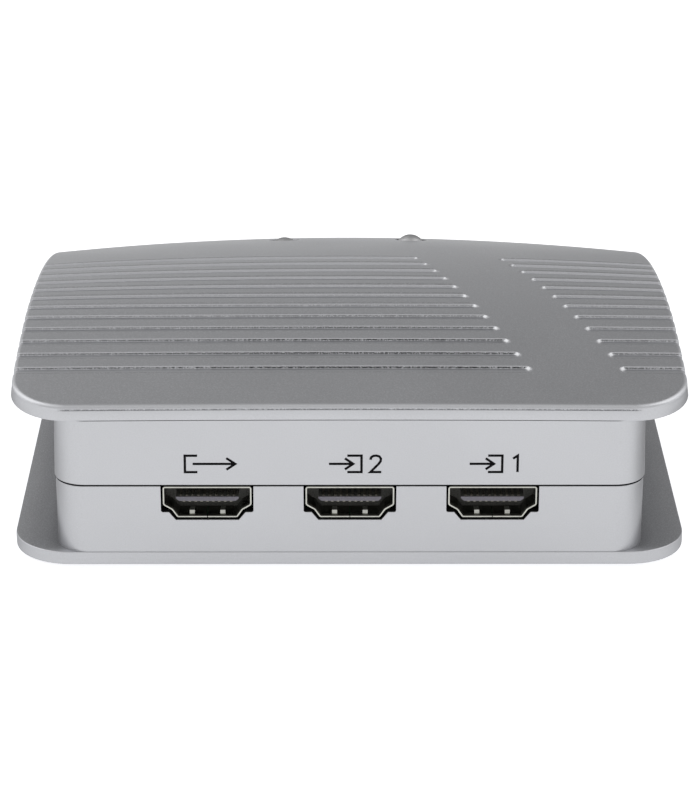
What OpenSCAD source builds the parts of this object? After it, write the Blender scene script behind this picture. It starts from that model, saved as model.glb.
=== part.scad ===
// Two-way video switch box: two plates with a narrower body between them, an arched and
// grooved top, three sockets in a row, and two interlocked push buttons near the front edge.
// Lengths are in mm. The socket face looks along -Y and the buttons stand near the +Y edge.

/* [Case] */
// Width across both plates
case_w = 115.4; // [108:0.2:130]
// Depth from the socket face to the middle of the front edge
case_d = 113; // [106:0.5:125]
// Plan radius of the bowed front edge
bow_r = 233.5; // [210:0.5:280]
// Plan radius of the plates' corners
corner_r = 9.8; // [6:0.1:12]
// How far the body stands back from the plates at the sides
side_recess = 7.9; // [6:0.1:10]
// How far the body stands back from the plates at the front
front_recess = 5; // [3:0.1:7]
// How far the body stands back from the plates at the socket face
face_step = 0.15; // [0.1:0.05:0.4]
// Plan radius of the body's corners
body_r = 4.5; // [3.5:0.1:6]
// Thickness of the body's walls
wall = 2; // [1.6:0.1:2.6]
// Thickness of the lip that registers the two covers
lip_t = 0.9; // [0.7:0.05:1]
// Height of the lip above the seam
lip_h = 1.2; // [0.8:0.1:1.6]
// Play round the lip
lip_gap = 0.1; // [0.05:0.05:0.2]

/* [Heights] */
// Height of the rubber feet below the base plate
foot_h = 1; // [0.6:0.1:2]
// Thickness of the base plate
base_t = 2.3; // [1.8:0.1:3]
// Seam between the covers, above the underside of the base plate
seam_h = 14.55; // [13.5:0.05:17]
// Underside of the top plate at the socket face, above the underside of the base plate
rim_h = 26.45; // [24:0.05:30]
// Thickness of the top plate
plate_t = 2.75; // [2:0.05:3.4]

/* [Arched top] */
// Rise of the top from the socket edge to its level middle
arch_rise = 3.65; // [2:0.05:5]
// Distance from the socket edge to the crest of the near arc
arch_y = 45; // [38:0.5:54]
// Height of the near arc's own crest above the level middle that trims it
arch_over = 0.1; // [0.05:0.05:0.3]
// Distance from the socket edge to where the front arc starts
front_start = 42; // [36:0.5:50]
// Height of the front wall between the seam and the top plate
front_wall = 3; // [2.4:0.1:5]

/* [Grooves] */
// Grooves in each of the two groups
groove_n = 12; // [6:1:14]
// Distance between grooves
groove_pitch = 5.3; // [4:0.1:6]
// Width of a groove
groove_w = 2.2; // [1.4:0.1:2.8]
// Depth of a groove
groove_depth = 0.45; // [0.2:0.05:0.8]
// Distance from the socket edge to the middle of the first groove
groove_y = 12.05; // [10:0.05:16]
// Place of the first groove's round end in the left group
left_tip_x = 31.1; // [25:0.1:35]
// Place of the first groove's round end in the right group
right_tip_x = 46.7; // [40:0.1:50]
// How far each next groove's end moves to the left
tip_step = 1.6; // [0:0.1:2]

/* [Sockets] */
// Distance between sockets
socket_pitch = 24.2; // [20:0.1:28]
// Outer width of a socket shell
shell_w = 15.1; // [14.6:0.1:16]
// Outer height of a socket shell
shell_h = 5.7; // [5.4:0.05:6.2]
// Outer width of the shell's narrow lower side
shell_foot_w = 10.6; // [10:0.1:11.5]
// Height of the shell's upright sides
shell_side_h = 3.1; // [2.6:0.1:3.4]
// Thickness of the shell's sheet
shell_t = 0.45; // [0.3:0.05:0.5]
// Length of a socket shell
shell_l = 11.5; // [10:0.1:13]
// How far the shell's mouth stands back from the socket face
shell_set = 0.3; // [0.1:0.05:0.6]
// Play between the shell and its cut-out
shell_gap = 0.3; // [0.2:0.05:0.4]
// Height of the cut-out's shoulder above the shell's underside
shoulder_h = 1.1; // [0.8:0.1:1.4]
// Width of a shell's soldered legs
leg_w = 1.5; // [1:0.1:1.8]
// Distance from the shell's mouth to its first legs
leg_start = 4.6; // [4.2:0.1:5.4]
// Distance from the shell's rear end to its last legs
leg_end = 1.7; // [1:0.1:2.2]
// Length of a leg below the board
leg_out = 0.6; // [0.3:0.1:1]
// Width of the shell's spring fingers
finger_w = 1; // [0.6:0.1:1.4]
// Height of the shell's spring fingers
finger_h = 0.5; // [0.3:0.05:0.7]
// Depth of the space for the plug inside a shell
plug_l = 8; // [7:0.1:9]
// Thickness of the tongue
tongue_t = 0.85; // [0.7:0.05:1]
// How far the tongue's end stands back from the shell's mouth
tongue_set = 0.8; // [0.4:0.1:1.5]
// How far the tongue's middle lies above the shell's middle
tongue_up = 0.15; // [-0.3:0.05:0.4]
// How far the tongue reaches past its outer contacts
tongue_edge = 0.35; // [0.2:0.05:0.5]
// Contacts on the upper side of the tongue, with one fewer below
contact_n = 10; // [6:1:10]
// Distance between contacts on one side of the tongue
contact_pitch = 1; // [0.9:0.05:1.1]
// Width of a contact
contact_w = 0.4; // [0.3:0.05:0.45]
// Thickness of a contact
contact_t = 0.2; // [0.15:0.05:0.25]
// How far a contact's end stands back from the tongue's end
contact_set = 0.5; // [0.3:0.05:0.8]
// Distance from the shell to the lower contacts' tails, and from these to the upper ones'
tail_step = 0.8; // [0.5:0.1:1.2]

/* [Board and screws] */
// Thickness of the circuit board
board_t = 1.6; // [1:0.1:2]
// Gap between the board and the walls and bosses beside it
board_gap = 0.9; // [0.6:0.1:1.2]
// Diameter of all screw shanks at the thread's root
shank_d = 2.4; // [2:0.1:2.8]
// Diameter of the screw heads
head_d = 5.2; // [4.6:0.1:5.8]
// Height of the screw heads
head_h = 1.8; // [1.4:0.1:2.2]
// Depth of the drive recess in a screw head
drive_h = 0.9; // [0.5:0.1:1.2]
// Play round a shank in a through hole
shank_gap = 0.4; // [0.3:0.05:0.5]
// Play round a shank in the hole it is driven into
pilot_gap = 0.05; // [0.02:0.01:0.1]
// Play round and below a recessed screw head
head_gap = 0.3; // [0.2:0.05:0.4]
// Thickness of a boss round a recessed screw head
boss_t = 0.7; // [0.5:0.05:1]
// Gap between a boss and the wall
boss_gap = 0.7; // [0.5:0.1:1]
// Distance from the socket face to the near case screws
screw_y = 10; // [8.5:0.1:12]
// Depth of thread in a boss
thread_l = 6; // [4:0.5:7]
// Depth of the pilot holes past a screw's end
pilot_end = 0.6; // [0.4:0.1:1]
// Distance from the socket face to the board screws
board_screw_y = 22; // [20:0.5:30]
// Distance of the board screws from the board's sides
board_screw_edge = 5; // [4:0.1:8]
// Thickness of a board standoff round its hole
standoff_t = 1.75; // [1.2:0.05:2.2]
// Diameter of a rubber foot
foot_d = 9; // [8.6:0.1:11]
// Depth of the recess that a foot is stuck into
foot_sink = 0.4; // [0.2:0.05:0.6]
// Play round a foot in its recess
foot_gap = 0.1; // [0.05:0.05:0.2]

/* [Buttons] */
// Distance of each button from the middle
button_x = 12.35; // [11:0.05:14]
// Diameter of a button cap
cap_d = 4.9; // [4.4:0.1:5.6]
// Radius of a cap's domed end
dome_r = 4.6; // [3.5:0.1:8]
// Play round a cap in the top plate
cap_gap = 0.3; // [0.2:0.05:0.4]
// How far the released button stands above the top
cap_proud = 1.1; // [0.9:0.05:1.5]
// Thickness of a cap round its plunger
cap_t = 0.62; // [0.5:0.02:0.8]
// Depth of the hole in a cap for its plunger
cap_bore_l = 3; // [2:0.1:3.6]
// Gap between a latched cap and the switch's lid
cap_room = 1.2; // [0.8:0.1:1.6]
// Travel of a button between released and latched
travel = 0.6; // [0.4:0.05:0.8]
// Diameter of a plunger's cross pin
pin_d = 1.2; // [1:0.05:1.4]

/* [Interlock] */
// Sideways travel of the slide for each unit of button travel
slide_ratio = 2; // [1.5:0.1:2.4]
// Running play of the sliding pieces
run_gap = 0.1; // [0.06:0.01:0.12]
// Play between pieces that are pushed together
push_gap = 0.03; // [0.02:0.01:0.05]
// Gap between the switch's frame and the front wall
frame_gap = 2; // [1:0.1:3]
// Thickness of the frame's walls
frame_t = 1.6; // [1.2:0.1:2]
// Thickness of the frame's floor
floor_t = 1.4; // [1.2:0.1:2]
// Thickness of the lid
lid_t = 1.2; // [1:0.1:1.6]
// Thickness of the frame's end blocks round their screws
end_t = 1.4; // [1:0.1:2]
// Room for the slide past each end of its travel
end_room = 2; // [1:0.1:3]
// Length of the slide past each button
slide_end = 5.65; // [5:0.05:7]
// Thickness of the slide
slide_t = 1.6; // [1.4:0.1:2]
// Height of the slide
slide_h = 5.2; // [4.6:0.1:6]
// Gap between the slide and the plungers
slide_off = 0.5; // [0.4:0.1:0.8]
// Width of the ribs that keep the slide down and in line
rib_w = 3; // [2:0.1:4]
// Thickness of the ribs that keep the slide in line
rib_t = 1; // [0.8:0.1:1.4]
// Room above the slide for the detent spring
spring_room = 1.4; // [1.1:0.1:1.8]
// Thickness of the detent spring and the wiper springs
spring_t = 0.2; // [0.15:0.05:0.25]
// Depth of the detent notches
notch_d = 0.5; // [0.4:0.05:0.6]
// Half length of the detent spring
spring_l = 9; // [8:0.1:10.5]
// Length of each flat end of the detent spring and the wiper springs
flat_l = 1.4; // [1:0.1:1.6]
// Wiper springs under the slide
wiper_n = 4; // [2:1:4]
// Distance between wiper springs
wiper_pitch = 6; // [5.4:0.1:6.4]
// Length of a wiper spring along the slide
wiper_l = 4; // [3.4:0.1:4.2]
// How much narrower a spring is than the slide
spring_side = 0.2; // [0.1:0.05:0.4]
// Thickness of the contact pads on the board
pad_t = 0.1; // [0.05:0.01:0.15]
// Gap between the two pads under a wiper spring
pad_gap = 0.2; // [0.1:0.05:0.3]

/* [Hidden] */
$fn = 96;
eps = 0.02;
over = 5;
// How far a front corner's circle stands past the bow, so that the two arcs cross cleanly
tuck = 0.02;

// Plan of the case, with y counted from the socket face
axis_back = bow_r - case_d;
half_w = case_w / 2;
sector = 2 * atan(half_w / axis_back) + 12;
inner_y = face_step + wall;
inner_front = front_recess + wall;
shank_hole_d = shank_d + 2 * shank_gap;
pilot_d = shank_d + 2 * pilot_gap;
head_hole_d = head_d + 2 * head_gap;
boss_d = head_hole_d + 2 * boss_t;
standoff_d = pilot_d + 2 * standoff_t;
boss_x = half_w - side_recess - wall - boss_gap - boss_d / 2;
board_half_w = boss_x - boss_d / 2 - board_gap;
board_screw_x = board_half_w - board_screw_edge;

// Distance from the socket face to a line this far inside the plates' front edge, at x from the middle
function front_at(x, inset) = sqrt(pow(bow_r - inset, 2) - x * x) - axis_back;
boss_front_y = front_at(boss_x + boss_d / 2, inner_front) - boss_gap - boss_d / 2;
board_near_y = inner_y + board_gap;
board_far_y = front_at(board_half_w, inner_front) - board_gap;

// Levels above the floor
base_top = foot_h + base_t;
seam_z = foot_h + seam_h;
level_z = foot_h + rim_h + plate_t + arch_rise;
front_z = seam_z + front_wall + plate_t;
shell_top = seam_z - shell_gap;
shell_mid = shell_top - shell_h / 2;
board_top = shell_top - shell_h;
board_low = board_top - board_t;
tongue_z = shell_mid + tongue_up;
head_seat = foot_h + foot_sink + head_gap + head_h;
screw_low = base_top + pilot_end;

// Arcs of the top
near_h = arch_rise + arch_over;
near_r = (pow(arch_y, 2) + pow(near_h, 2)) / (2 * near_h);
front_l = case_d - front_start;
front_h = level_z - front_z;
front_r = (pow(front_l, 2) + pow(front_h, 2)) / (2 * front_h);
function front_drop(s) = front_r - sqrt(pow(front_r, 2) - pow(max(0, s - front_start), 2));
function top_at(x, y) = level_z - front_drop(norm([x, y + axis_back]) - axis_back);

// Sockets
mouth_y = face_step + shell_set;
tail_y = mouth_y + shell_l;
block_y = mouth_y + plug_l;
tongue_y = mouth_y + tongue_set;
contact_y = tongue_y + contact_set;
tongue_w = contact_n * contact_pitch + 2 * tongue_edge;
slit_h = contact_t + push_gap;
lean = atan2((shell_w - shell_foot_w) / 2, shell_h - shell_side_h);

// Half of a shell's outline seen from the socket face, grown by d
function shell_half(d) = [
    [shell_w / 2 + d, shell_h / 2 + d],
    [shell_w / 2 + d, shell_h / 2 - shell_side_h - d * tan(lean / 2)],
    [shell_foot_w / 2 + d * tan(45 - lean / 2), -shell_h / 2 - d]
];

// Buttons and interlock
plunger_d = cap_d - 2 * cap_t;
guide_d = plunger_d + 2 * run_gap;
shift = travel * slide_ratio;
slide_l = 2 * (button_x + slide_end);
frame_in = (slide_l + shift) / 2 + end_room;
frame_out = frame_in + shank_hole_d + 2 * end_t;
frame_far_y = front_at(frame_out, inner_front) - frame_gap;
button_y = frame_far_y - frame_t - slide_off - plunger_d / 2;
slide_far_y = button_y - plunger_d / 2 - slide_off;
slide_near_y = slide_far_y - slide_t;
frame_near_y = slide_near_y - run_gap - frame_t;
frame_l = frame_far_y - frame_near_y;
frame_screw_x = (frame_in + frame_out) / 2;
frame_screw_y = (frame_near_y + frame_far_y) / 2;
slide_z = board_top + floor_t + run_gap;
slide_top = slide_z + slide_h;
frame_top = slide_top + spring_room;
lid_top = frame_top + lid_t;
pin_z = slide_z + (slide_h + travel) / 2;
cap_low = lid_top + cap_room + travel;
cap_top = top_at(button_x, button_y) + cap_proud;
plunger_low = board_top + 2 * run_gap + travel;
plunger_high = cap_low + cap_bore_l;
wiper_x = [for (i = [0:wiper_n - 1]) (i - (wiper_n - 1) / 2) * wiper_pitch - wiper_l / 2];
wiper_low = board_top + pad_t + push_gap;
pad_w = shift - pad_gap;
window_half = (wiper_n * wiper_pitch + pad_w) / 2 + shift;

// Moves a piece drawn from the socket face so that the middle of the plan stands on the origin
module placed() translate([0, -case_d / 2, 0]) children();

module boss_places()
    for (side = [-1, 1], y = [screw_y, boss_front_y]) translate([side * boss_x, y]) children();

module board_screw_places()
    for (side = [-1, 1]) translate([side * board_screw_x, board_screw_y]) children();

module frame_screw_places()
    for (side = [-1, 1]) translate([side * frame_screw_x, frame_screw_y]) children();

module button_places()
    for (side = [-1, 1]) translate([side * button_x, button_y]) children();

module socket_places()
    for (i = [-1:1]) translate([i * socket_pitch, 0]) children();

// Extrudes a drawing upwards from one level to another
module rise(from, to) translate([0, 0, from]) linear_extrude(to - from) children();

// Extrudes a drawing made across the case backwards, from a distance y behind the socket face
module back(y, length) translate([0, y + length, 0]) rotate([90, 0, 0]) linear_extrude(length) children();

// Plan with a straight near edge, a bowed front edge and round corners
module outline(half, near, front, r) {
    big_r = bow_r - front;
    cy = sqrt(pow(big_r - r, 2) - pow(half - r, 2)) - axis_back;
    far = big_r / (big_r - r) * [half - r, cy + axis_back] - [0, axis_back];
    far_y = cy + tuck;
    polygon([
        [-half, near + r], [-half + r, near], [half - r, near], [half, near + r],
        [half, far_y], far, [-far[0], far[1]], [-half, far_y]
    ]);
    for (side = [-1, 1], y = [near + r, far_y]) translate([side * (half - r), y]) circle(r);
    intersection() {
        translate([0, -axis_back]) circle(big_r, $fn = 360);
        translate([-far[0], far[1] - eps]) square([2 * far[0], case_d]);
    }
}

module plate_outline() outline(half_w, 0, 0, corner_r);

module body_outline(inset)
    outline(half_w - side_recess - inset, face_step + inset, front_recess + inset, max(body_r - inset, 1));

module body_ring() difference() {
    body_outline(0);
    body_outline(wall);
}

// The registering lip, grown by gap
module lip_outline(gap) difference() {
    body_outline(wall - lip_t - gap);
    body_outline(wall + gap);
}

// All that lies below the arched top lowered by drop: a long arc over the near part, which
// runs from side to side, and an arc at the front, which is turned about the bow's axis
module below_top(drop) intersection() {
    translate([-case_w, 0, -drop]) rotate([90, 0, 90]) linear_extrude(2 * case_w) near_profile();
    translate([0, -axis_back, -drop]) rotate([0, 0, 90 - sector / 2])
        rotate_extrude(angle = sector, $fn = 360) front_profile();
}

module near_profile() {
    intersection() {
        translate([-over, 0]) square([arch_y + over, level_z + over]);
        translate([arch_y, level_z + arch_over - near_r]) circle(near_r, $fn = 360);
    }
    translate([arch_y - eps, 0]) square([case_d, level_z + over]);
}

module front_profile() {
    start = axis_back + front_start;
    translate([start - front_start - 2 * over, 0]) square([front_start + 2 * over, level_z]);
    intersection() {
        translate([start, level_z - front_r]) circle(front_r, $fn = 360);
        translate([start - eps, 0]) square([front_l + over, level_z]);
    }
}

// A groove from its round end at tip out past the side edge
module groove(tip, side) {
    r = groove_w / 2;
    translate([tip + side * r, 0]) circle(r, $fn = 32);
    translate([tip + side * (r + case_w / 2), 0]) square([case_w, groove_w], center = true);
}

module groove_plan()
    for (i = [0:groove_n - 1]) translate([-i * tip_step, groove_y + i * groove_pitch]) {
        groove(left_tip_x, -1);
        groove(right_tip_x, 1);
    }

module top_cover() color("silver") placed() difference() {
    intersection() {
        below_top(0);
        rise(seam_z, level_z + over) plate_outline();
    }
    difference() {
        below_top(plate_t);
        rise(seam_z - over, level_z + over) {
            body_ring();
            boss_places() circle(d = boss_d);
        }
    }
    difference() {
        rise(seam_z, level_z + over) groove_plan();
        below_top(groove_depth);
    }
    rise(seam_z - over, seam_z + lip_h + lip_gap) lip_outline(lip_gap);
    rise(seam_z - over, seam_z + thread_l + pilot_end) boss_places() circle(d = pilot_d);
    rise(seam_z, level_z + over) button_places() circle(d = cap_d + 2 * cap_gap);
}

module shell_outline(d) {
    half = shell_half(d);
    polygon(concat(half, [for (i = [2:-1:0]) [-half[i][0], half[i][1]]]));
}

// Cut-out for a shell: open at the seam, with shoulders above the shell's slanted sides
module socket_cut() {
    low = shell_half(shell_gap)[2];
    step = shoulder_h - shell_h / 2;
    top_w = low[0] + (step - low[1]) * tan(lean);
    translate([0, 0, shell_mid]) back(-over, over + inner_y + over) {
        translate([-shell_w / 2 - shell_gap, step])
            square([shell_w + 2 * shell_gap, shell_h + lip_h + over]);
        polygon([[-top_w, step + eps], [-low[0], low[1]], [low[0], low[1]], [top_w, step + eps]]);
    }
}

module bottom_cover() color("silver") placed() difference() {
    union() {
        rise(foot_h, base_top) plate_outline();
        rise(base_top - eps, seam_z) {
            body_ring();
            boss_places() circle(d = boss_d);
        }
        rise(seam_z - lip_h, seam_z + lip_h) lip_outline(0);
        rise(base_top - eps, board_low) {
            board_screw_places() circle(d = standoff_d);
            frame_screw_places() circle(d = standoff_d);
        }
    }
    socket_places() socket_cut();
    rise(0, foot_h + foot_sink) boss_places() circle(d = foot_d + 2 * foot_gap);
    rise(0, head_seat) boss_places() circle(d = head_hole_d);
    rise(0, seam_z + over) boss_places() circle(d = shank_hole_d);
    rise(base_top, board_top) {
        board_screw_places() circle(d = pilot_d);
        frame_screw_places() circle(d = pilot_d);
    }
}

// The soldered legs of a shell, grown by gap
module leg_plan(gap)
    for (side = [-1, 1], y = [leg_start, shell_l - leg_end])
        translate([side * (shell_w - shell_t) / 2, mouth_y + y])
            square([shell_t + 2 * gap, leg_w + 2 * gap], center = true);

module main_board() color("darkgreen") placed() rise(board_low, board_top) difference() {
    translate([-board_half_w, board_near_y]) square([2 * board_half_w, board_far_y - board_near_y]);
    socket_places() leg_plan(shell_gap / 2);
    board_screw_places() circle(d = shank_hole_d);
    frame_screw_places() circle(d = shank_hole_d);
}

module socket_shell(i) color("gainsboro") placed() translate([i * socket_pitch, 0, 0]) {
    translate([0, 0, shell_mid]) back(mouth_y, shell_l) difference() {
        shell_outline(0);
        shell_outline(-shell_t);
    }
    rise(board_low - leg_out, shell_top - shell_side_h + shell_t) leg_plan(0);
    for (side = [-1, 1])
        translate([side * shell_foot_w / 4 - finger_w / 2, mouth_y + plug_l, board_top + shell_t / 2])
            rotate([90, 0, 90]) linear_extrude(finger_w)
                polygon([[-plug_l * 0.75, 0], [-1, 0], [-2, shell_t / 2 + finger_h]]);
}

module socket_insulator(i) color("dimgray") placed() translate([i * socket_pitch, 0, 0]) difference() {
    union() {
        translate([0, 0, shell_mid]) back(block_y, shell_l - plug_l) shell_outline(-shell_t - push_gap);
        translate([-tongue_w / 2, tongue_y, tongue_z - tongue_t / 2])
            cube([tongue_w, tail_y - tongue_y, tongue_t]);
    }
    for (z = [tongue_z + tongue_t / 2, tongue_z - tongue_t / 2 - slit_h])
        translate([-tongue_w / 2, tongue_y, z]) cube([tongue_w, shell_l, slit_h]);
}

// One contact: along the tongue, out behind the shell and down to the board
module contact(x, z, tail) translate([x - contact_w / 2, 0, 0]) {
    translate([0, contact_y, z]) cube([contact_w, tail - contact_y, contact_t]);
    translate([0, tail - contact_t, board_top]) cube([contact_w, contact_t, z + contact_t - board_top]);
}

module contact_row(n, z, tail)
    for (k = [0:n - 1]) contact((k - (n - 1) / 2) * contact_pitch, z, tail);

module socket_contacts(i) color("goldenrod") placed() translate([i * socket_pitch, 0, 0]) {
    contact_row(contact_n, tongue_z + tongue_t / 2, tail_y + 2 * tail_step);
    contact_row(contact_n - 1, tongue_z - tongue_t / 2 - contact_t, tail_y + tail_step);
}

// Puts a button's piece at its side, pushed in by down
module button_placed(side, down) placed() translate([side * button_x, button_y, -down]) children();

module button_cap(side, down) color("silver") button_placed(side, down) rotate_extrude() difference() {
    intersection() {
        translate([0, cap_low]) square([cap_d / 2, cap_top - cap_low]);
        union() {
            translate([0, cap_low]) square([cap_d / 2, cap_top - dome_r - cap_low]);
            translate([0, cap_top - dome_r]) circle(dome_r);
        }
    }
    translate([0, cap_low - 1]) square([plunger_d / 2 + push_gap, cap_bore_l + 1]);
}

module button_plunger(side, down) color("white") button_placed(side, down) difference() {
    rise(plunger_low, plunger_high) circle(d = plunger_d);
    translate([0, 0, pin_z]) back(-plunger_d, 2 * plunger_d) circle(d = pin_d + 2 * push_gap);
}

module button_pin(side, down) color("gray") button_placed(side, down) translate([0, 0, pin_z])
    back(slide_near_y + run_gap - button_y, plunger_d + slide_off + slide_t - run_gap) circle(d = pin_d);

// Slot for a pin that rises by up while the slide moves sideways by shift
module cam_slot(up) {
    r = pin_d / 2 + run_gap;
    length = norm([shift, up]);
    rotate([0, 0, atan2(up, -shift)]) {
        translate([0, -r]) square([length, 2 * r]);
        circle(r);
        translate([length, 0]) circle(r);
    }
}

module cam_slide() color("ivory") placed() back(slide_near_y, slide_t) difference() {
    translate([-(slide_l + shift) / 2, slide_z]) square([slide_l, slide_h]);
    translate([button_x, pin_z]) cam_slot(-travel);
    translate([-button_x, pin_z - travel]) cam_slot(travel);
    for (x = [0, -shift]) translate([x, slide_top])
        polygon([[-shift / 2, eps], [0, -notch_d], [shift / 2, eps]]);
    for (x = wiper_x) translate([x - push_gap, slide_z - 1]) square([2 * flat_l, 1 + spring_t]);
}

// Each wiper is a leaf seated under the slide and bent down to the pads
module wiper_springs() color("gold") placed() back(slide_near_y + spring_side / 2, slide_t - spring_side)
    for (x = wiper_x) translate([x, 0]) polygon([
        [0, slide_z + spring_t], [0, slide_z], [flat_l - spring_t, slide_z],
        [wiper_l - pad_w / 2, wiper_low], [wiper_l, wiper_low + spring_t],
        [wiper_l - pad_w / 2, wiper_low + 2 * spring_t], [flat_l, slide_z + spring_t]
    ]);

module contact_pads() color("gold") placed() for (x = wiper_x, step = [0, shift])
    translate([x + wiper_l - pad_w + step, slide_near_y, board_top]) cube([pad_w, slide_t, pad_t]);

module switch_frame() color("dimgray") placed() difference() {
    translate([-frame_out, frame_near_y, board_top]) cube([2 * frame_out, frame_l, frame_top - board_top]);
    difference() {
        translate([-frame_in, frame_near_y + frame_t, board_top + floor_t])
            cube([2 * frame_in, frame_l - 2 * frame_t, frame_top]);
        for (x = [-frame_in - eps, -rib_w / 2, frame_in - rib_w + eps])
            translate([x, slide_far_y + run_gap, board_top]) cube([rib_w, rib_t, pin_z - board_top]);
    }
    translate([-window_half, slide_near_y - run_gap, board_top - 1])
        cube([2 * window_half, slide_t + 2 * run_gap, floor_t + 2]);
    rise(board_top - 1, board_top + floor_t + 1) button_places() circle(d = guide_d);
    rise(board_top - 1, lid_top) frame_screw_places() circle(d = shank_hole_d);
}

module switch_lid() color("gray") placed() difference() {
    union() {
        translate([-frame_out, frame_near_y, frame_top]) cube([2 * frame_out, frame_l, lid_t]);
        for (side = [-1, 1])
            translate([side * (slide_l / 2 - rib_w) - rib_w / 2, slide_near_y, slide_top + run_gap])
                cube([rib_w, slide_t, spring_room]);
    }
    rise(frame_top - 1, lid_top + 1) {
        button_places() circle(d = guide_d);
        frame_screw_places() circle(d = shank_hole_d);
    }
}

// A bowed leaf under the lid whose middle rests in one of the slide's two notches
module detent_spring() color("lightsteelblue") placed()
    back(slide_near_y + spring_side / 2, slide_t - spring_side) {
        side_z = slide_top + run_gap + spring_t;
        path = [
            [-spring_l, frame_top], [flat_l - spring_l, frame_top], [-shift / 2, side_z],
            [0, side_z - notch_d], [shift / 2, side_z], [spring_l - flat_l, frame_top], [spring_l, frame_top]
        ];
        polygon(concat(path, [for (i = [6:-1:0]) path[i] - [0, spring_t]]));
    }

// A screw with its shank along +Z and its head seated at z = 0
module screw(length) {
    cylinder(d = shank_d, h = length);
    difference() {
        translate([0, 0, -head_h]) cylinder(d = head_d, h = head_h);
        translate([0, 0, -head_h - 1]) cylinder(d = shank_d, h = drive_h + 1, $fn = 6);
    }
}

module frame_screws() color("silver") placed() translate([0, 0, lid_top]) frame_screw_places()
    mirror([0, 0, 1]) screw(lid_top - screw_low);

module board_screws() color("silver") placed() translate([0, 0, board_top]) board_screw_places()
    mirror([0, 0, 1]) screw(board_top - screw_low);

module case_screws() color("silver") placed() translate([0, 0, head_seat]) boss_places()
    screw(seam_z + thread_l - head_seat);

module foot(side, y) color("black") placed() translate([side * boss_x, y, 0])
    cylinder(d = foot_d, h = foot_h + foot_sink);

top_cover();
bottom_cover();
main_board();
socket_shell(-1);  // socket_out_shell
socket_insulator(-1);  // socket_out_insulator
socket_contacts(-1);  // socket_out_contacts
socket_shell(0);  // socket_in_2_shell
socket_insulator(0);  // socket_in_2_insulator
socket_contacts(0);  // socket_in_2_contacts
socket_shell(1);  // socket_in_1_shell
socket_insulator(1);  // socket_in_1_insulator
socket_contacts(1);  // socket_in_1_contacts
button_cap(1, 0);  // button_a_cap
button_plunger(1, 0);  // button_a_plunger
button_pin(1, 0);  // button_a_pin
button_cap(-1, travel);  // button_b_cap
button_plunger(-1, travel);  // button_b_plunger
button_pin(-1, travel);  // button_b_pin
cam_slide();
wiper_springs();
contact_pads();
switch_frame();
switch_lid();
detent_spring();
frame_screws();
board_screws();
case_screws();
foot(-1, screw_y);  // foot_near_left
foot(1, screw_y);  // foot_near_right
foot(-1, boss_front_y);  // foot_front_left
foot(1, boss_front_y);  // foot_front_right
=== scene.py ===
import math

import bpy
import bmesh
import numpy as np
from mathutils import Matrix, Vector


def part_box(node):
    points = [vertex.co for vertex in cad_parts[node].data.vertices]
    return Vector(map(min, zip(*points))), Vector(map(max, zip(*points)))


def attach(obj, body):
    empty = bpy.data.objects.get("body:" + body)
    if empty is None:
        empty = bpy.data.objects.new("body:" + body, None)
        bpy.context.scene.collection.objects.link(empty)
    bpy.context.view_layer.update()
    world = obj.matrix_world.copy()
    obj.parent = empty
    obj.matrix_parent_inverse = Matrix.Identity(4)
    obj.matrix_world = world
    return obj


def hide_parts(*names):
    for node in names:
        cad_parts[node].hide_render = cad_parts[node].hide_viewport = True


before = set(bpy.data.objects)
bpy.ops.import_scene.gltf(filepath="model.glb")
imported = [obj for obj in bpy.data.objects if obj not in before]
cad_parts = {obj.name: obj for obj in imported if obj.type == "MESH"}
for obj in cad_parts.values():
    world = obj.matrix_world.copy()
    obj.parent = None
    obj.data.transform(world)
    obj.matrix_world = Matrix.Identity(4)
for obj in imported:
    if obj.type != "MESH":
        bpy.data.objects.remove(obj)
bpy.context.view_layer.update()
mm = 0.001


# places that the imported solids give, in mm; y is counted from the socket face from here on
def boxMm(node):
    low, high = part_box(node)
    return np.array(low) / mm, np.array(high) / mm


coverLow, coverHigh = boxMm("top_cover")
baseLow, _ = boxMm("bottom_cover")
faceY = baseLow[1]
case = dict(
    halfW=coverHigh[0],       # half width of the plates
    depth=-2 * faceY - 0.01,  # from the socket face to the middle of the bowed edge
    bowR=233.5,               # plan radius of the bowed edge
    cornerR=9.8,              # plan radius of the plates' corners
    farR=5.6,                 # the same at the top plate's far corners
    baseR=10.1,               # and at the base plate's near corners
    sideRecess=7.45,          # body behind the plates' sides
    frontRecess=5.0,          # body behind the bowed edge
    faceStep=0.15,            # body behind the socket edge
    bodyR=5.5,                # plan radius of the body's corners
    wall=2.0,                 # thickness of the body's walls
    seamZ=coverLow[2],        # seam between the two covers
    floorZ=baseLow[2],        # underside of the base plate
    levelZ=coverHigh[2],      # highest line of the top
)
axisBack = case["bowR"] - case["depth"]   # the bow's axis behind the socket face
print("frame loaded, case half width %.2f mm, depth %.2f mm" % (case["halfW"], case["depth"]))


# mesh helpers

# index array of the quads of a grid; a wrapped direction joins its last line to its first
def gridQuads(rows, cols, wrapRows=False, wrapCols=False):
    r = np.arange(rows if wrapRows else rows - 1)
    c = np.arange(cols if wrapCols else cols - 1)
    r, c = np.meshgrid(r, c, indexing="ij")
    r2, c2 = (r + 1) % rows, (c + 1) % cols
    quads = np.stack([r * cols + c, r * cols + c2, r2 * cols + c2, r2 * cols + c], axis=-1)
    return quads.reshape(-1, 4)


# quads between each two neighbouring closed loops of point numbers
def loopQuads(loops):
    return [np.stack([a, np.roll(a, -1), np.roll(b, -1), b], 1) for a, b in zip(loops[:-1], loops[1:])]


# faces of a tube made of closed rings of n points, with a face over either end
def tubeFaces(rings, n):
    ends = [list(range(n)), list(range((rings - 1) * n, rings * n))]
    return gridQuads(rings, n, False, True).tolist() + ends


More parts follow.
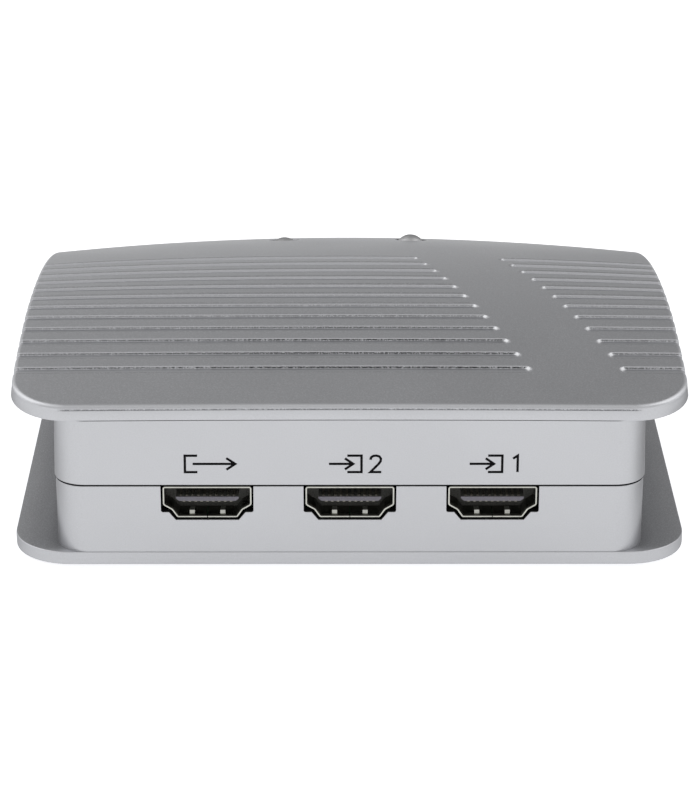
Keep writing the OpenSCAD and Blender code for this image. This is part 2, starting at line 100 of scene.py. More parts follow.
# puts points in mm, with y from the socket face, and faces into a mesh that rides on a body
def addPiece(name, points, faces, body, material, sharpDeg=38, replaced=()):
    world = np.asarray(points, float).reshape(-1, 3) + [0, faceY, 0]
    mesh = bpy.data.meshes.new(name)
    mesh.from_pydata((world * mm).tolist(), [], [list(map(int, f)) for f in faces])
    work = bmesh.new()
    work.from_mesh(mesh)
    bmesh.ops.recalc_face_normals(work, faces=work.faces)
    work.to_mesh(mesh)
    work.free()
    mesh.polygons.foreach_set("use_smooth", np.ones(len(mesh.polygons), bool))
    mesh.set_sharp_from_angle(angle=math.radians(sharpDeg))
    mesh.update()
    piece = bpy.data.objects.new(name, mesh)
    bpy.context.scene.collection.objects.link(piece)
    mesh.materials.append(material)
    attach(piece, body)
    for node in replaced:
        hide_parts(node)
    return piece


# gives a piece one value at each point, for its finish to read
def setValues(piece, label, values):
    piece.data.attributes.new(label, "FLOAT", "POINT").data.foreach_set("value", np.ravel(values))


outlineMesh = dict(near=40, corner=14, side=24, bow=48)   # points along each stretch of an outline


# closed plan outline: straight socket edge, bowed far edge, four round corners; gives points and outward normals
def outlineLoop(inset, half, near, front, radius, nearX=None):
    r = radius - inset
    hw = half - radius
    bow = case["bowR"] - front
    cy = math.sqrt((bow - radius) ** 2 - hw ** 2) - axisBack
    turn = math.atan2(cy + axisBack, hw)
    nearX = np.linspace(-hw, hw, outlineMesh["near"]) if nearX is None else nearX
    a1 = np.linspace(-math.pi / 2, 0, outlineMesh["corner"] + 1)[1:-1]
    side = np.linspace(near + radius, cy, outlineMesh["side"])
    a2 = np.linspace(0, turn, outlineMesh["corner"] + 1)[1:-1]
    a3 = np.linspace(turn, math.pi - turn, outlineMesh["bow"])
    right = np.concatenate([
        np.stack([hw + r * np.cos(a1), near + radius + r * np.sin(a1), np.cos(a1), np.sin(a1)], 1),
        np.stack([np.full_like(side, half - inset), side, np.ones_like(side), np.zeros_like(side)], 1),
        np.stack([hw + r * np.cos(a2), cy + r * np.sin(a2), np.cos(a2), np.sin(a2)], 1),
    ])
    left = right[::-1] * [-1, 1, -1, 1]
    first = np.stack([nearX, np.full_like(nearX, near + inset), 0 * nearX, 0 * nearX - 1], 1)
    far = np.stack([(bow - inset) * np.cos(a3), (bow - inset) * np.sin(a3) - axisBack, np.cos(a3), np.sin(a3)], 1)
    loop = np.concatenate([first, right, far, left])
    return loop[:, :2], loop[:, 2:]


# carries a profile round a loop: point = loop + normal * offset, at the profile's height
def sweepLoop(loop, normals, offsets, heights):
    xy = loop[None] + normals[None] * offsets[..., None]
    return np.concatenate([xy, heights[..., None]], axis=2)


# the same for a list of (offset, height) pairs, each one number or one for every point of the loop
def sweepPairs(loop, normals, pairs):
    flat = np.ones(len(loop))
    offsets, heights = (np.array([pair[i] * flat for pair in pairs]) for i in (0, 1))
    return sweepLoop(loop, normals, offsets, heights)


# materials; noiseSpan holds most of the values that a noise gives
noiseSpan = (0.3, 0.7)
paintNoise = dict(grainDetail=3.0, cloudScale=45.0, cloudDetail=2.0, bumpDistance=0.00002,
                  speckDetail=1.0, speckSpan=(0.32, 0.54))


def placeOf(tree):
    return next(n for n in tree.nodes if n.type == "TEX_COORD")


def addNoise(tree, place, scale, detail, stretch=None):
    noise = tree.nodes.new("ShaderNodeTexNoise")
    noise.inputs["Scale"].default_value = scale
    noise.inputs["Detail"].default_value = detail
    source = place.outputs["Object"]
    if stretch:
        mapping = tree.nodes.new("ShaderNodeMapping")
        mapping.inputs["Scale"].default_value = stretch
        tree.links.new(source, mapping.inputs["Vector"])
        source = mapping.outputs["Vector"]
    tree.links.new(source, noise.inputs["Vector"])
    return noise.outputs["Fac"]


# a value that goes from low to high while its source goes from start to end
def addRange(tree, source, low, high, start, end):
    ranger = tree.nodes.new("ShaderNodeMapRange")
    ranger.inputs["From Min"].default_value = start
    ranger.inputs["From Max"].default_value = end
    ranger.inputs["To Min"].default_value = low
    ranger.inputs["To Max"].default_value = high
    tree.links.new(source, ranger.inputs["Value"])
    return ranger.outputs["Result"]


def addRamp(tree, source, low, high):
    ramp = tree.nodes.new("ShaderNodeValToRGB")
    for stop, position, color in zip(ramp.color_ramp.elements, noiseSpan, (low, high)):
        stop.position = position
        stop.color = (*color, 1)
    tree.links.new(source, ramp.inputs["Fac"])
    return ramp.outputs["Color"]


def timesOf(tree, first, second):
    product = tree.nodes.new("ShaderNodeMath")
    product.operation = "MULTIPLY"
    tree.links.new(first, product.inputs[0])
    tree.links.new(second, product.inputs[1])
    return product.outputs["Value"]


def axesOf(tree, source):
    split = tree.nodes.new("ShaderNodeSeparateXYZ")
    tree.links.new(source, split.inputs["Vector"])
    return split.outputs["X"], split.outputs["Y"], split.outputs["Z"]


def attributeOf(tree, label):
    reader = tree.nodes.new("ShaderNodeAttribute")
    reader.attribute_name = label
    return reader.outputs["Fac"]


# a finish whose colour, roughness and bump vary with two noises over the piece
def grainFinish(name, dark, light, rough, metallic, grainScale, bump, specular=0.5, stretch=None, edgeTint=1.0):
    mat = bpy.data.materials.new(name)
    mat.use_nodes = True
    tree = mat.node_tree
    tree.nodes.clear()
    out = tree.nodes.new("ShaderNodeOutputMaterial")
    shader = tree.nodes.new("ShaderNodeBsdfPrincipled")
    tree.links.new(shader.outputs["BSDF"], out.inputs["Surface"])
    place = tree.nodes.new("ShaderNodeTexCoord")
    grain = addNoise(tree, place, grainScale, paintNoise["grainDetail"], stretch)
    cloud = addNoise(tree, place, paintNoise["cloudScale"], paintNoise["cloudDetail"])
    tree.links.new(addRamp(tree, grain, dark, light), shader.inputs["Base Color"])
    tree.links.new(addRange(tree, cloud, *rough, *noiseSpan), shader.inputs["Roughness"])
    lift = tree.nodes.new("ShaderNodeBump")
    lift.inputs["Strength"].default_value = bump
    lift.inputs["Distance"].default_value = paintNoise["bumpDistance"]
    tree.links.new(grain, lift.inputs["Height"])
    tree.links.new(lift.outputs["Normal"], shader.inputs["Normal"])
    shader.inputs["Metallic"].default_value = metallic
    shader.inputs["Specular IOR Level"].default_value = specular
    shader.inputs["Specular Tint"].default_value = (edgeTint, edgeTint, edgeTint, 1)
    return mat


# lays a colour over a finish by a factor between 0 and 1
def overlay(mat, factor, color):
    tree = mat.node_tree
    shader = next(n for n in tree.nodes if n.type == "BSDF_PRINCIPLED")
    blend = tree.nodes.new("ShaderNodeMix")
    blend.data_type = "RGBA"
    tree.links.new(shader.inputs["Base Color"].links[0].from_socket, blend.inputs["A"])
    blend.inputs["B"].default_value = (*color, 1)
    tree.links.new(factor, blend.inputs["Factor"])
    tree.links.new(blend.outputs["Result"], shader.inputs["Base Color"])


# darkens a finish in specks where its piece carries paint grain and painted shade
def addGrainAndShade(mat, dark, speckScale, stretch):
    tree = mat.node_tree
    specks = addNoise(tree, placeOf(tree), speckScale, paintNoise["speckDetail"], stretch)
    share = addRange(tree, specks, 0.0, 1.0, *paintNoise["speckSpan"])
    overlay(mat, timesOf(tree, attributeOf(tree, "grain_and_shade"), share), dark)


# lays a colour evenly over a finish by a value its piece carries, used here for painted highlight and painted shade
def addTone(mat, label, color):
    overlay(mat, attributeOf(mat.node_tree, label), color)


# darkens a finish with the distance behind the socket face, as inside a socket
def addDepthShade(mat, dark, startMm, endMm):
    tree = mat.node_tree
    alongY = axesOf(tree, placeOf(tree).outputs["Object"])[1]
    overlay(mat, addRange(tree, alongY, 0.0, 1.0, (faceY + startMm) * mm, (faceY + endMm) * mm), dark)


# dark colour of the paint grain and of the painted shade in grooves, creases, hole rims and cap sides
grainAndShadeDark = (0.02, 0.02, 0.022)
silverPaint = grainFinish("silver_paint", (0.505, 0.51, 0.525), (0.545, 0.55, 0.57), (0.36, 0.42), 1.0, 5200, 0.12,
                          edgeTint=0.52)
# painted highlight at the grooves' round ends
addTone(silverPaint, "painted_highlight", (0.92, 0.92, 0.92))
# painted shade at the far grooves' ends, on the plate's socket-edge fillet and on the base ledge
addTone(silverPaint, "painted_shade", (0.02, 0.02, 0.021))
addGrainAndShade(silverPaint, grainAndShadeDark, 4800, (0.85, 1, 1))
capSilver = grainFinish("cap_silver", (0.46, 0.46, 0.465), (0.54, 0.54, 0.545), (0.42, 0.48), 1.0, 4200, 0.10,
                        edgeTint=0.15)
# painted shade on the cap below its dome
addGrainAndShade(capSilver, grainAndShadeDark, 3600, (1, 1, 1))
# near-black lining plastic: its own dark colour, and painted shade where the seam and the cut-outs open
innerPlasticAndShade = grainFinish("inner_plastic_and_shade", (0.010, 0.010, 0.011), (0.018, 0.018, 0.019), (0.6, 0.7), 0.0, 3000, 0.2,
                           specular=0.02)
platedSteel = grainFinish("plated_steel", (0.48, 0.48, 0.44), (0.58, 0.58, 0.53), (0.26, 0.34), 1.0, 900, 0.12,
                          stretch=(1, 8, 1))
addDepthShade(platedSteel, (0.16, 0.16, 0.145), 0.6, 1.6)
leafSteel = grainFinish("leaf_steel", (0.46, 0.46, 0.43), (0.58, 0.58, 0.54), (0.3, 0.4), 1.0, 1500, 0.10)
socketPlastic = grainFinish("socket_plastic", (0.07, 0.07, 0.064), (0.15, 0.15, 0.138), (0.45, 0.6), 0.0, 3600, 0.2)
# socket contacts: dull tin, darkened as painted shade for the inside of the sockets
contactTinShaded = grainFinish("contact_tin_shaded", (0.22, 0.21, 0.18), (0.34, 0.32, 0.28), (0.4, 0.5), 1.0, 3000, 0.08)
# the tongue's front tip: a lighter copy of its plastic, painted light for its lit front face
tongueTipHighlight = grainFinish("tongue_tip_highlight", (0.24, 0.23, 0.27), (0.30, 0.29, 0.33), (0.5, 0.6), 0.0, 4000, 0.1)
blackPlastic = grainFinish("black_plastic", (0.014, 0.014, 0.015), (0.026, 0.026, 0.028), (0.45, 0.55), 0.0, 3000,
                           0.15)
contactGold = grainFinish("contact_gold", (0.30, 0.23, 0.12), (0.38, 0.30, 0.17), (0.34, 0.44), 1.0, 3000, 0.08)
boardMask = grainFinish("board_mask", (0.012, 0.11, 0.045), (0.025, 0.17, 0.07), (0.3, 0.42), 0.0, 1600, 0.15)
ivoryPlastic = grainFinish("ivory_plastic", (0.68, 0.66, 0.60), (0.76, 0.74, 0.68), (0.4, 0.5), 0.0, 2500, 0.1)
zincSteel = grainFinish("zinc_steel", (0.50, 0.51, 0.52), (0.64, 0.65, 0.66), (0.3, 0.42), 1.0, 2200, 0.12)
footRubber = grainFinish("foot_rubber", (0.018, 0.018, 0.019), (0.035, 0.035, 0.037), (0.7, 0.82), 0.0, 2600, 0.4)
markInk = grainFinish("mark_ink", (0.005, 0.005, 0.006), (0.012, 0.012, 0.013), (0.5, 0.6), 0.0, 5000, 0.1,
                      specular=0.05)
print("materials made")


# the top plate
arch = dict(nearCrest=39.72, nearR=215.5, frontStart=42.0, frontR=208.4,
            crown=0.26, crownFar=0.32, crownX=54.5, crownFrom=60.0, crownRun=45.0)
plate = dict(thick=2.75, fillet=0.75, lean=0.22, lowFillet=0.04,
             lineWide=0.28, lineDepth=0.13, lineDrop=0.02, lineEase=0.01, lineShade=0.5,
             edgeShade=(0.10, 0.17, 0.15, 0.08, 0.06, 0.18), grain=0.16, landDepth=0.01)
groove = dict(count=12, pitch=5.3, width=2.25, depth=0.45, first=12.3, leftTip=31.3, rightTip=45.9,
              leftStep=1.6, rightStep=1.62, lipR=0.08, footR=0.08, slope=0.11,
              tipLong=1.3, tipRun=0.62, tipShare=0.6, tipFade=0.5,
              # painted highlight and painted shade in the bowls at the grooves' ends
              tipHighlight=0.12, tipShade=0.25, highlightRun=0.25, shadeFrom=6, shadeRun=5,
              # painted shade on the grooves' far walls, near lips and the land beyond the far ones
              shadeMid=5.0, shadeSpread=38.0, shadeSides=0.55, shadeFade=5.0,
              wallShade=(0, 1.3, 0.9, 0),                                    # from its lip to its foot
              beyondAt=(-1.2, -0.7, -0.06, 0), beyondShade=(0, 1, 1, 0), farShade=0.45,
              lipAt=(-0.22, -0.08, 0.08, 0.2), lipShade=(0, 1, 1, 0), lipLeast=0.08, lipNear=0.32)
hole = dict(gap=0.3, fillet=0.22, ease=0.29, margin=4.3, gridRow=-18,
            nearShade=dict(button_a_cap=0.3, button_b_cap=1.4),
            sideShade=dict(button_a_cap=1.8, button_b_cap=0.5))
# rows and columns of the plate's grid
plateMesh = dict(nearCorner=13, farCorner=15, farRows=20,
                 lipShare=(0, 0.35, 0.65, 0.87, 1), footShare=(0, 0.13, 0.5, 1), floorAt=(-0.55, -0.2, 0.2, 0.55),
                 nearLand=(0.5, 0.22, 0.08), farLand=(0.06, 0.7, 1.2),
                 holeFrom=7, holeTo=18, tipReach=2.4, tipPast=0.3, columns=(8, 11, 6, 11, 6, 23, 6, 23, 5),
                 leanFrom=-2, leanFade=15, leftKnot=6, rightKnot=5)


# height of the top: level, less a parabola towards the socket edge, an arc about the bow's axis and a side crown
def topHeight(x, y):
    near = np.clip(arch["nearCrest"] - y, 0, None)
    out = np.clip(np.hypot(x, y + axisBack) - axisBack - arch["frontStart"], 0, None)
    bend = arch["frontR"] - np.sqrt(arch["frontR"] ** 2 - out ** 2)
    crown = arch["crown"] + arch["crownFar"] * np.clip((y - arch["crownFrom"]) / arch["crownRun"], 0, 1) ** 2
    return case["levelZ"] - near ** 2 / (2 * arch["nearR"]) - bend - crown * (x / arch["crownX"]) ** 2


def smoothStep(t):
    t = np.clip(t, 0, 1)
    return t * t * (3 - 2 * t)


# depth of a groove's wall against the distance inside its edge: round lip, steep wall, round foot
def wallDrop(inside):
    lip, foot, slope, deep = (groove[k] for k in ("lipR", "footR", "slope", "depth"))
    onLip = lip - np.sqrt(np.clip(lip ** 2 - np.clip(inside, 0, lip) ** 2, 0, None))
    onWall = np.clip((inside - lip) / slope, 0, 1) * (deep - lip - foot)
    left = np.clip(lip + slope + foot - inside, 0, foot)
    onFoot = np.sqrt(np.clip(foot ** 2 - left ** 2, 0, None))
    return onLip + onWall + onFoot


# place in the nearest groove: distance inside its edge, distance past the start of its round end, offset across
# it, and which groove it is
def groovePlace(x, y):
    k = np.clip(np.round((y - groove["first"]) / groove["pitch"]), 0, groove["count"] - 1)
    dy = y - groove["first"] - k * groove["pitch"]
    r = groove["width"] / 2
    long = r * groove["tipLong"]
    pastLeft = np.clip(x - groove["leftTip"] + k * groove["leftStep"] + long, 0, None)
    pastRight = np.clip(groove["rightTip"] - k * groove["rightStep"] + long - x, 0, None)
    past = np.minimum(pastLeft, pastRight) / groove["tipLong"]
    return r - np.hypot(past, dy), past, dy, k


# depth of the grooves: the wall's profile over the distance inside a slot, softened to a bowl at its round end
def grooveDrop(x, y):
    inside, past, _, _ = groovePlace(x, y)
    bowl = groove["depth"] * smoothStep(inside / groove["tipRun"])
    share = smoothStep(past / (groove["tipShare"] * groove["width"] / 2))
    return (1 - share) * wallDrop(inside) + share * bowl


# painted shade of a groove: on its far wall and less so on its near lip, thinner to the sides and in the far
# grooves, which have it on the land beyond them instead
def grooveShade(x, y):
    inside, past, dy, k = groovePlace(x, y)
    lip, foot, slope = groove["lipR"], groove["footR"], groove["slope"]
    wallAt = [lip, lip + 0.5 * slope, lip + slope, lip + slope + 0.5 * foot]
    onWall = np.interp(inside, wallAt, groove["wallShade"])
    beyond = np.interp(inside, groove["beyondAt"], groove["beyondShade"])
    onLip = np.interp(inside, groove["lipAt"], groove["lipShade"])
    middle = np.exp(-((x - groove["shadeMid"]) / groove["shadeSpread"]) ** 2)
    spread = groove["shadeSides"] + (1 - groove["shadeSides"]) * middle
    nearShare = np.exp(-(k / groove["shadeFade"]) ** 2)
    farSide = onWall * spread * nearShare + groove["farShade"] * beyond * (1 - nearShare)
    nearSide = (groove["lipLeast"] + groove["lipNear"] * nearShare) * onLip
    return np.where(dy > 0, farSide, nearSide) * (1 - smoothStep(past / groove["tipFade"]))


# painted highlight in the bowl at a groove's round end, and painted shade in the bowls of the far grooves
def grooveTipHighlightAndShade(x, y):
    inside, past, _, k = groovePlace(x, y)
    atEnd = smoothStep(past / groove["tipFade"]) * smoothStep(inside / groove["highlightRun"])
    farShare = smoothStep((k - groove["shadeFrom"]) / groove["shadeRun"])
    return groove["tipHighlight"] * atEnd, groove["tipShade"] * atEnd * farShare


# rows of the plate's grid as points of its right edge: near corner, side with rows at every groove, far corner
def plateRows():
    f = plate["fillet"] + plate["lean"]
    r, farR = case["cornerR"], case["farR"]
    hw, farX = case["halfW"] - r, case["halfW"] - farR
    cy = math.sqrt((case["bowR"] - farR) ** 2 - farX ** 2) - axisBack
    turn = math.atan2(cy + axisBack, farX)
    a1 = np.linspace(-math.pi / 2, 0, plateMesh["nearCorner"])[:-1]
    a2 = np.linspace(0, turn, plateMesh["farCorner"])[1:]
    w, lip, foot = groove["width"] / 2, groove["lipR"], groove["footR"]
    wallSteps = w - np.concatenate([lip * np.array(plateMesh["lipShare"]),
                                    lip + groove["slope"] + foot * np.array(plateMesh["footShare"])])
    farSteps = np.sort(np.append(wallSteps, w - lip - 0.5 * groove["slope"]))
    steps = np.concatenate([-w - np.array(plateMesh["nearLand"]), -wallSteps, plateMesh["floorAt"], farSteps,
                            w + np.array(plateMesh["farLand"])])
    centres = groove["first"] + groove["pitch"] * np.arange(groove["count"])
    lastY = centres[-1] + w + plateMesh["farLand"][-1]
    farY = np.linspace(lastY, cy, plateMesh["farRows"])[1:]
    sideY = np.concatenate([[r], (centres[:, None] + steps).ravel(), farY])
    edge = np.concatenate([
        np.stack([hw + (r - f) * np.cos(a1), r + (r - f) * np.sin(a1), np.cos(a1), np.sin(a1)], 1),
        np.stack([np.full_like(sideY, case["halfW"] - f), sideY, np.ones_like(sideY), 0 * sideY], 1),
        np.stack([farX + (farR - f) * np.cos(a2), cy + (farR - f) * np.sin(a2), np.cos(a2), np.sin(a2)], 1),
    ])
    return edge, lastY


# columns of the grid across the plate, close together at the button holes and where the grooves end
def plateColumns(end):
    reach, past = plateMesh["tipReach"] * groove["width"] / 2, plateMesh["tipPast"]
    leftTip, rightTip = groove["leftTip"], groove["rightTip"]
    holeFrom, holeTo = plateMesh["holeFrom"], plateMesh["holeTo"]
    stops = [-end, -holeTo, -holeFrom, holeFrom, holeTo, leftTip - reach, leftTip + past,
             rightTip - past, rightTip + reach, end]
    parts = [np.linspace(a, b, n + 1)[:-1] for a, b, n in zip(stops[:-1], stops[1:], plateMesh["columns"])]
    return np.append(np.concatenate(parts), end)


# the plate's grid in plan: columns lean along the line of groove ends, rows bend into the bow at the far edge
def plateGrid():
    edge, lastY = plateRows()
    end = case["halfW"] - plate["fillet"] - plate["lean"]
    cols = plateColumns(end)
    edgeX, edgeY = edge[:, 0], edge[:, 1]
    lean = np.clip(edgeY - groove["first"], plateMesh["leanFrom"], lastY - groove["first"]) / groove["pitch"]
    lean = lean * (1 - smoothStep((edgeY - lastY) / plateMesh["leanFade"]))
    scale = edgeX / end
    leftKnot, rightKnot = groove["leftTip"] - plateMesh["leftKnot"], groove["rightTip"] + plateMesh["rightKnot"]
    knots = np.array([-end, leftKnot, rightKnot, end])
    moved = knots[None] - lean[:, None] * [0, groove["leftStep"], groove["rightStep"], 0]
    x = np.stack([np.interp(cols, knots, m) for m in moved]) * scale[:, None]
    bowR = case["bowR"] - plate["fillet"] - plate["lean"]
    bend = np.sqrt(bowR ** 2 - x ** 2) - np.sqrt(bowR ** 2 - edgeX[:, None] ** 2)
    weight = smoothStep((edgeY - lastY) / (edgeY[-1] - lastY))
    y = edgeY[:, None] + weight[:, None] * bend
    return x, y, edge


# a button's hole: the block it takes out of the grid, the block's ring, a tube through the plate, painted shade
# round its rim
def buttonHole(node, x, y, top, ids):
    lowCap, highCap = boxMm(node)
    hx, hy = (lowCap[0] + highCap[0]) / 2, (lowCap[1] + highCap[1]) / 2 - faceY
    holeR = (highCap[0] - lowCap[0]) / 2 + hole["gap"]
    mid = np.argmin(np.abs(x[hole["gridRow"]] - hx))
    inRows = np.flatnonzero(np.abs(y[:, mid] - hy) < hole["margin"])
    inCols = np.flatnonzero(np.abs(x[inRows[len(inRows) // 2]] - hx) < hole["margin"])
    r0, r1, c0, c1 = inRows[0], inRows[-1], inCols[0], inCols[-1]
    ring = np.concatenate([ids[r0, c0:c1], ids[r0:r1, c1], ids[r1, c1:c0:-1], ids[r1:r0:-1, c0]])
    rim = top[ring, :2]
    angle = np.arctan2(rim[:, 1] - hy, rim[:, 0] - hx)
    out = np.stack([np.cos(angle), np.sin(angle)], 1)
    f, ease, thick = hole["fillet"], hole["ease"], plate["thick"]
    outer, eased, wall = (np.array([hx, hy]) + out * (holeR + share * f) for share in (1, ease, 0))
    halfWay = (rim + outer) / 2
    plan = [halfWay, outer, eased, wall, wall, halfWay]
    drops = [0, 0, ease * f, f, thick, thick]
    tube = [np.column_stack([p, topHeight(p[:, 0], p[:, 1]) - d]) for p, d in zip(plan, drops)]
    shaded = (hole["nearShade"][node] * np.clip(-out[:, 1], 0, 1)
              + hole["sideShade"][node] * np.abs(out[:, 0]) ** 3)
    return (slice(r0, r1), slice(c0, c1)), ring, tube, shaded


# the loop of the grid's border with its outward normals
def plateBorder(x, y, edge, ids):
    border = np.concatenate([ids[0, :-1], ids[:-1, -1], ids[-1, :0:-1], ids[:0:-1, 0]])
    nearOut = np.tile([0.0, -1.0], (x.shape[1] - 1, 1))
    bowOut = np.stack([x[-1], y[-1] + axisBack], 1)
    bowOut /= np.linalg.norm(bowOut, axis=1)[:, None]
    right = edge[:, 2:]
    return border, np.concatenate([nearOut, right[:-1], bowOut[:0:-1], (right * [-1, 1])[:0:-1]])


# the plate's edge as (offset, height): upper fillet, the fine mould line along the socket edge, leaning lower edge
def plateEdge(zTop, zLow, onFace):
    f, g = plate["fillet"], plate["lowFillet"]
    upper = [(f * math.sin(t), zTop - f * (1 - math.cos(t))) for t in np.radians([15, 30, 45, 60, 75, 90])]
    cut = f - plate["lineDepth"] * onFace
    zLine, ease = zTop - f - plate["lineDrop"], plate["lineEase"]
    zFoot = zLine - plate["lineWide"]
    line = [(f, zLine), (cut, zLine - ease), (cut, zFoot), (f, zFoot - ease)]
    full = f + plate["lean"]
    turns = np.radians([0, 22.5, 45, 67.5, 90])
    under = [(full - g * (1 - math.cos(t)), zLow + g * (1 - math.sin(t))) for t in turns]
    return upper, line, under


# top plate: grid above, the same grid below, an edge carried round, and a tube through each button hole
def buildTopPlate():
    x, y, edge = plateGrid()
    rows, cols = x.shape
    zSkin, drop = topHeight(x, y), grooveDrop(x, y)
    top = np.stack([x, y, zSkin - drop], 2).reshape(-1, 3)
    low = np.stack([x, y, zSkin - plate["thick"]], 2).reshape(-1, 3)
    count = rows * cols
    ids = np.arange(count).reshape(rows, cols)
    points, total = [top, low], 2 * count
    keep = np.ones((rows - 1, cols - 1), bool)
    faces, holeRims = [], []
    for node in ("button_a_cap", "button_b_cap"):
        block, ring, tube, shaded = buttonHole(node, x, y, top, ids)
        keep[block] = False
        n = len(ring)
        faces += loopQuads([ring] + [total + i * n + np.arange(n) for i in range(len(tube))] + [ring + count])
        points += tube
        inner = len(tube) - 2             # all but the loops half way to the ring
        holeRims.append((total + n + np.arange(inner * n), np.tile(shaded, inner)))
        total += n * len(tube)
    quads = gridQuads(rows, cols)[keep.ravel()]
    faces += [quads, quads[:, ::-1] + count]
    border, normals = plateBorder(x, y, edge, ids)
    onFace = (normals[:, 1] < -0.9999).astype(float)
    upper, line, under = plateEdge(top[border, 2], low[border, 2], onFace)
    profile = upper + line + under
    points.append(sweepPairs(top[border, :2], normals, profile).reshape(-1, 3))
    n = len(border)
    faces += loopQuads([border] + [total + i * n + np.arange(n) for i in range(len(profile))] + [border + count])
    piece = addPiece("top_plate", np.concatenate(points), np.concatenate(faces), "case",
                     silverPaint, replaced=["top_cover"])
    grain_and_shade, painted_highlight, painted_shade = np.zeros((3, len(piece.data.vertices)))
    # paint grain on the lands, and painted shade in the grooves
    grain = plate["grain"] * (drop < plate["landDepth"])
    grain_and_shade[:count] = np.maximum(grooveShade(x, y), grain).ravel()
    # painted highlight and painted shade in the bowls at the grooves' ends
    painted_highlight[:count], painted_shade[:count] = (v.ravel() for v in grooveTipHighlightAndShade(x, y))
    lineAt = total + n * (len(upper) + 1)
    # painted shade in the mould line along the socket edge, in specks
    grain_and_shade[lineAt:lineAt + 2 * n] = np.tile(plate["lineShade"] * onFace, 2)
    # painted shade round the button holes
    for rim, values in holeRims:
        grain_and_shade[rim] = values
    # painted shade on the upper fillet along the socket edge
    painted_shade[total:total + n * len(upper)] = np.outer(plate["edgeShade"], onFace).ravel()
    for label, values in dict(grain_and_shade=grain_and_shade, painted_highlight=painted_highlight, painted_shade=painted_shade).items():
        setValues(piece, label, values)


buildTopPlate()
print("top plate built")

# the two walls of the body: a thin painted skin outside, near-black plastic behind it, which also stands in as
# painted shade where the seam and the cut-outs open
body = dict(rimTuck=0.14, seamOut=0.10, seamStep=0.20, seamJump=0.01, baseTuck=0.155, faceShare=0.1,
            rimZ=27.45, baseTop=3.3, sink=0.4, edge=0.10, topEdge=0.02, edgeRun=0.06, easeShare=0.3,
            skin=0.12, skinLap=0.05, seamHalf=0.12, seamOpen=0.14, liningRise=0.75, liningEdge=0.02)


# how far the wall stands out at a height: widest at the seam, drawn in towards both plates, less so on the faces
def wallOut(z, normals):
    seamZ, seamOut = case["seamZ"], body["seamOut"]
    draft = np.interp(z, [body["baseTop"], seamZ - body["seamJump"], seamZ, body["rimZ"]],
                      [-body["baseTuck"], seamOut - body["seamStep"], seamOut, -body["rimTuck"]])
    return draft * (body["faceShare"] + (1 - body["faceShare"]) * np.abs(normals[:, 0]))


def bodyLoop(nearX=None):
    return outlineLoop(0, case["halfW"] - case["sideRecess"], case["faceStep"], case["frontRecess"],
                       case["bodyR"], nearX=nearX)


# a closed ring whose section is carried round the body between two heights, with eased outer edges
def addRing(name, loop, normals, zLow, zTop, behind, thick, lowEdge, topEdge, material, replaced):
    lows, tops = zLow + lowEdge, zTop - topEdge
    run, ease = body["edgeRun"], body["easeShare"]
    zs = [lows, lows + run, (lows + tops) / 2, tops - run, tops]
    outs = [wallOut(z, normals) - behind for z in zs]
    heights = [zLow, zLow + ease * lowEdge] + zs + [zTop - ease * topEdge, zTop, zTop, zLow]
    offsets = [outs[0] - lowEdge, outs[0] - ease * lowEdge] + outs + [
        outs[-1] - ease * topEdge, outs[-1] - topEdge, outs[-1] - thick, outs[0] - thick]
    ring = sweepLoop(loop, normals, np.array(offsets), np.array(heights))
    quads = gridQuads(len(heights), len(loop), True, True)
    addPiece(name, ring, quads, "case", material, replaced=[replaced])


def addSkin(name, loop, normals, zLow, zTop, topEdge, replaced):
    addRing(name, loop, normals, zLow, zTop, 0, body["skin"] + body["skinLap"], body["edge"], topEdge,
            silverPaint, replaced)


# the lining lies behind the skin and comes forward round the corners, where its near-black plastic darkens the seam
# as painted shade
def addLining(name, loop, normals, zLow, zTop, replaced):
    behind = body["skin"] * (1 - body["liningRise"] * normals[:, 0] ** 2)
    addRing(name, loop, normals, zLow, zTop, behind, case["wall"] - body["skin"], body["liningEdge"],
            body["liningEdge"], innerPlasticAndShade, replaced)


# upper walls, from the seam to the plate's underside
def buildUpperWall():
    loop, normals = bodyLoop()
    under = topHeight(loop[:, 0], loop[:, 1]) - plate["thick"]
    seam = np.full(len(loop), case["seamZ"])
    addSkin("upper_wall", loop, normals, seam + body["seamHalf"], under, body["topEdge"], "top_cover")
    addLining("upper_lining", loop, normals, seam, under + body["sink"], "top_cover")


socketNames = ("out", "in_2", "in_1")
shell = dict(sheet=0.3, footW=10.2, sideH=3.4, kneeX=6.05, kneeH=4.3, topR=0.45, sideR=0.6, kneeR=0.6, footR=0.4,
             rimR=0.10, rimEase=0.3, slit=0.14, footPull=0.6, kneePull=0.8, sidePull=0.3, lap=0.02)
cutout = dict(gap=0.3, lap=0.02, shoulder=1.13, kneeX=6.5, footX=5.35, lowGap=0.3, cornerR=0.35)


# a socket's place: middle, mouth and top, then its width, height above the board and length
def socketBox(name):
    low, high = boxMm("socket_%s_shell" % name)
    height = high[2] - boxMm("main_board")[1][2]
    return (low[0] + high[0]) / 2, low[1] - faceY, high[2], high[0] - low[0], height, high[1] - low[1]


